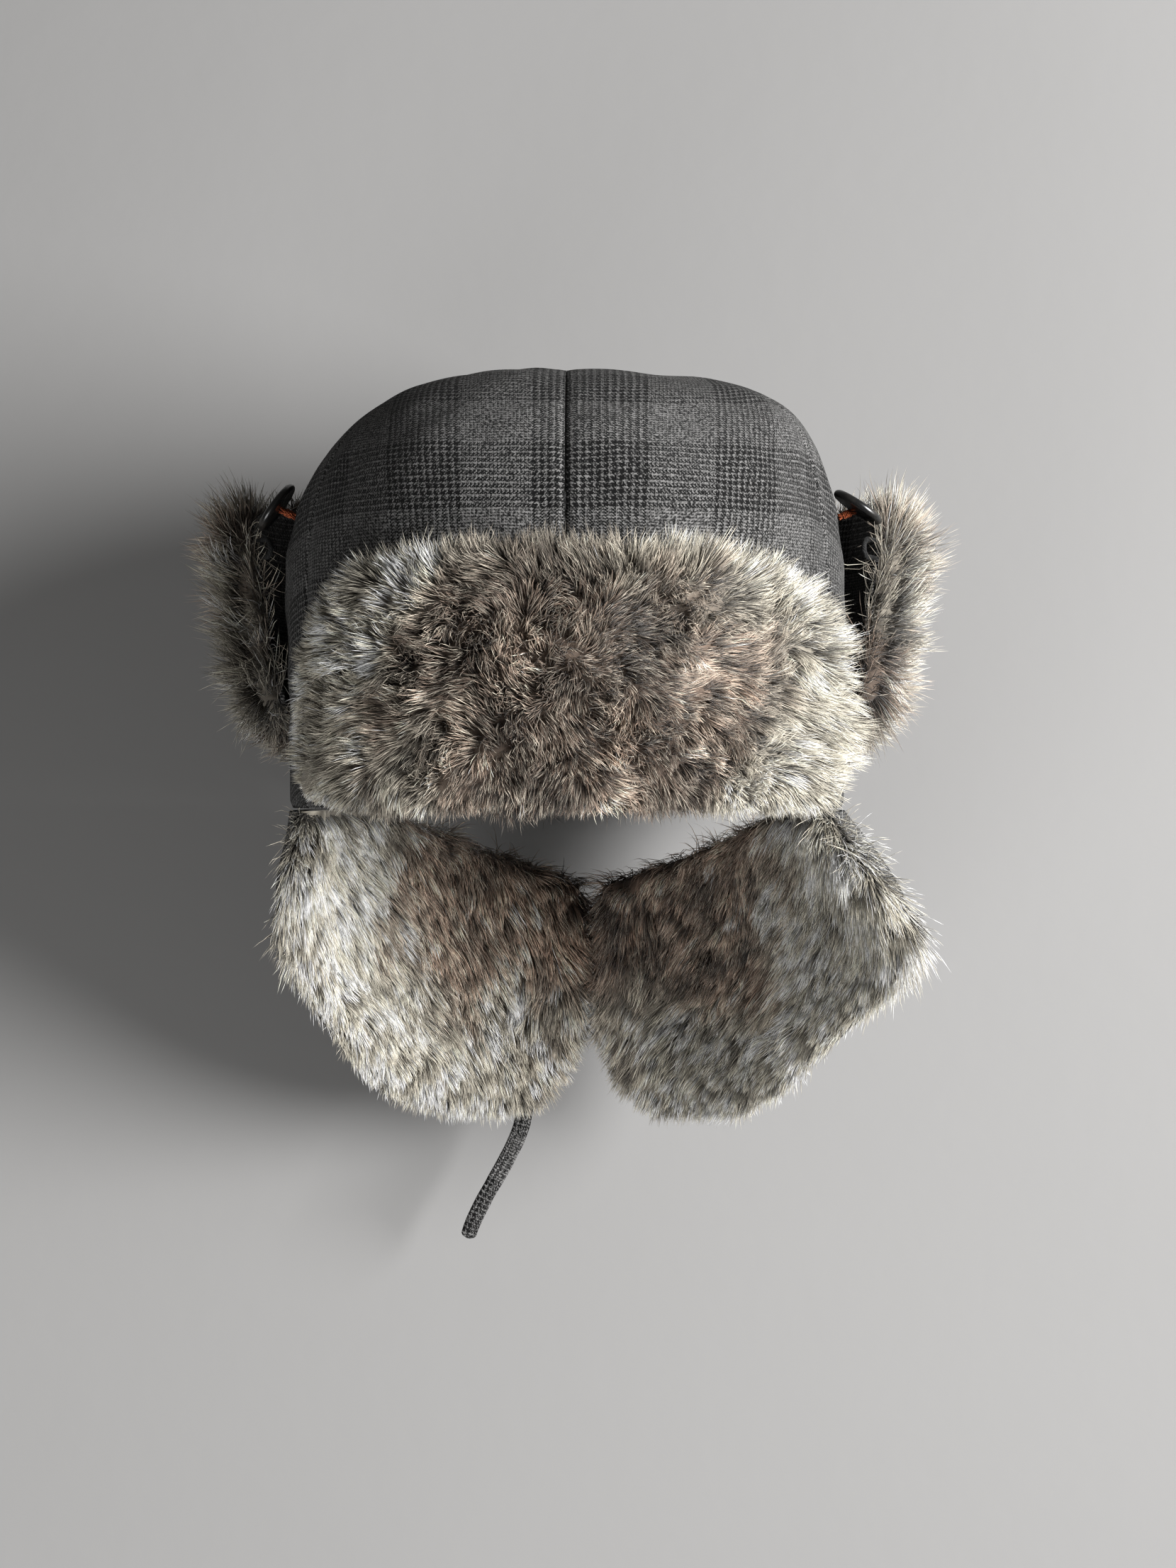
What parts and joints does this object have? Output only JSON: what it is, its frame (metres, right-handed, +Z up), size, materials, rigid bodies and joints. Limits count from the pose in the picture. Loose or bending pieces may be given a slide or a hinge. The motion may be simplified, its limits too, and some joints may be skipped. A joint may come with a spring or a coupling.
{
  "type": "trapper hat",
  "caption": "Wool trapper hat with a turned-up front flap, a buttoned-up back flap, ear flaps lined with faux fur, and a short chin strap.",
  "frame": {"origin": "centre of the head opening, on the plane of the rim", "axes": "+Z up as worn, -Y the way the wearer looks, +X on the right when the hat is seen from its front"},
  "size_m": [0.2454, 0.2494, 0.3107],
  "materials": {
    "wool_cloth": "brushed wool suiting in a charcoal and grey glen check",
    "faux_fur": "long synthetic pile, cream with brown tips and dark roots",
    "wadding": "soft polyester wadding",
    "satin_lining": "black quilted satin",
    "sweatband": "black ribbed grosgrain",
    "button": "moulded, half gloss",
    "button_thread": "rust-red sewing thread, wound into a shank",
    "elastic": "black covered elastic cord"
  },
  "bodies": {
    "crown": {"crown_panel_front_right": "wool_cloth", "crown_panel_side_right": "wool_cloth", "crown_panel_back_right": "wool_cloth", "crown_panel_back_left": "wool_cloth", "crown_panel_side_left": "wool_cloth", "crown_panel_front_left": "wool_cloth", "crown_lining_right": "satin_lining", "crown_lining_back": "satin_lining", "crown_lining_left": "satin_lining", "sweatband": "sweatband"},
    "front_flap": {"front_flap_middle_shell": "wool_cloth", "front_flap_middle_wadding": "wadding", "front_flap_middle_fur": "faux_fur"},
    "front_flap_right_wing": {"front_flap_right_wing_shell": "wool_cloth", "front_flap_right_wing_wadding": "wadding", "front_flap_right_wing_fur": "faux_fur"},
    "front_flap_left_wing": {"front_flap_left_wing_shell": "wool_cloth", "front_flap_left_wing_wadding": "wadding", "front_flap_left_wing_fur": "faux_fur"},
    "back_flap": {"back_flap_middle_shell": "wool_cloth", "back_flap_middle_wadding": "wadding", "back_flap_middle_fur": "faux_fur"},
    "back_flap_right_wing": {"back_flap_right_wing_shell": "wool_cloth", "back_flap_right_wing_wadding": "wadding", "back_flap_right_wing_fur": "faux_fur", "right_elastic_loop": "elastic"},
    "back_flap_left_wing": {"back_flap_left_wing_shell": "wool_cloth", "back_flap_left_wing_wadding": "wadding", "back_flap_left_wing_fur": "faux_fur", "left_elastic_loop": "elastic"},
    "right_ear_flap": {"right_ear_flap_side_shell": "wool_cloth", "right_ear_flap_side_wadding": "wadding", "right_ear_flap_side_fur": "faux_fur"},
    "right_ear_flap_rear": {"right_ear_flap_rear_shell": "wool_cloth", "right_ear_flap_rear_wadding": "wadding", "right_ear_flap_rear_fur": "faux_fur"},
    "left_ear_flap": {"left_ear_flap_side_shell": "wool_cloth", "left_ear_flap_side_wadding": "wadding", "left_ear_flap_side_fur": "faux_fur"},
    "left_ear_flap_rear": {"left_ear_flap_rear_shell": "wool_cloth", "left_ear_flap_rear_wadding": "wadding", "left_ear_flap_rear_fur": "faux_fur", "chin_strap_tab": "wool_cloth"},
    "chin_strap": {"chin_strap": "wool_cloth"},
    "right_button": {"right_button": "button", "right_button_thread": "button_thread"},
    "left_button": {"left_button": "button", "left_button_thread": "button_thread"}
  },
  "joints": [
    {"name": "front_flap_fold", "type": "hinge", "parent": "crown", "child": "front_flap", "pos_m": [0, -0.11735, 0], "axis": [1, 0, 0], "range_deg": [0, 150]},
    {"name": "front_flap_right_wing_bend", "type": "hinge", "parent": "front_flap", "child": "front_flap_right_wing", "pos_m": [0.05061, -0.11367, 0.04], "axis": [0, 0, -1], "range_deg": [0, 84]},
    {"name": "front_flap_left_wing_bend", "type": "hinge", "parent": "front_flap", "child": "front_flap_left_wing", "pos_m": [-0.05061, -0.11367, 0.04], "axis": [0, 0, 1], "range_deg": [0, 84]},
    {"name": "back_flap_fold", "type": "hinge", "parent": "crown", "child": "back_flap", "pos_m": [0, 0.11735, 0], "axis": [-1, 0, 0], "range_deg": [0, 150]},
    {"name": "back_flap_right_wing_bend", "type": "hinge", "parent": "back_flap", "child": "back_flap_right_wing", "pos_m": [0.07518, 0.09622, 0.05], "axis": [0, 0, 1], "range_deg": [0, 80]},
    {"name": "back_flap_left_wing_bend", "type": "hinge", "parent": "back_flap", "child": "back_flap_left_wing", "pos_m": [-0.07518, 0.09622, 0.05], "axis": [0, 0, -1], "range_deg": [0, 80]},
    {"name": "right_ear_flap_lift", "type": "hinge", "parent": "crown", "child": "right_ear_flap", "pos_m": [0.096, 0, 0], "axis": [0, -1, 0], "range_deg": [0, 95]},
    {"name": "right_ear_flap_open", "type": "hinge", "parent": "right_ear_flap", "child": "right_ear_flap_rear", "pos_m": [0.08491, 0.06563, -0.05], "axis": [0, 0, -1], "range_deg": [0, 25]},
    {"name": "left_ear_flap_lift", "type": "hinge", "parent": "crown", "child": "left_ear_flap", "pos_m": [-0.096, 0, 0], "axis": [0, 1, 0], "range_deg": [0, 95]},
    {"name": "left_ear_flap_open", "type": "hinge", "parent": "left_ear_flap", "child": "left_ear_flap_rear", "pos_m": [-0.0685, 0.0788, -0.05], "axis": [0, 0, 1], "range_deg": [0, 25]},
    {"name": "chin_strap_swing", "type": "hinge", "parent": "left_ear_flap_rear", "child": "chin_strap", "pos_m": [-0.0184, 0.0991, -0.1026], "axis": [1, 0, 0], "range_deg": [0, 70]},
    {"name": "right_button_tilt", "type": "hinge", "parent": "crown", "child": "right_button", "pos_m": [0.0912, -0.0177, 0.098], "axis": [0, 1, 0], "range_deg": [-6, 11]},
    {"name": "left_button_tilt", "type": "hinge", "parent": "crown", "child": "left_button", "pos_m": [-0.0912, -0.0177, 0.098], "axis": [0, -1, 0], "range_deg": [-6, 11]}
  ],
  "couplings": [
    {"joint": "front_flap_right_wing_bend", "follows": "front_flap_fold", "ratio": 0.56},
    {"joint": "back_flap_right_wing_bend", "follows": "back_flap_fold", "ratio": 0.53333},
    {"joint": "right_ear_flap_open", "follows": "right_ear_flap_lift", "ratio": 0.26316},
    {"joint": "front_flap_left_wing_bend", "follows": "front_flap_fold", "ratio": 0.56},
    {"joint": "back_flap_left_wing_bend", "follows": "back_flap_fold", "ratio": 0.53333},
    {"joint": "left_ear_flap_open", "follows": "left_ear_flap_lift", "ratio": 0.26316}
  ]
}
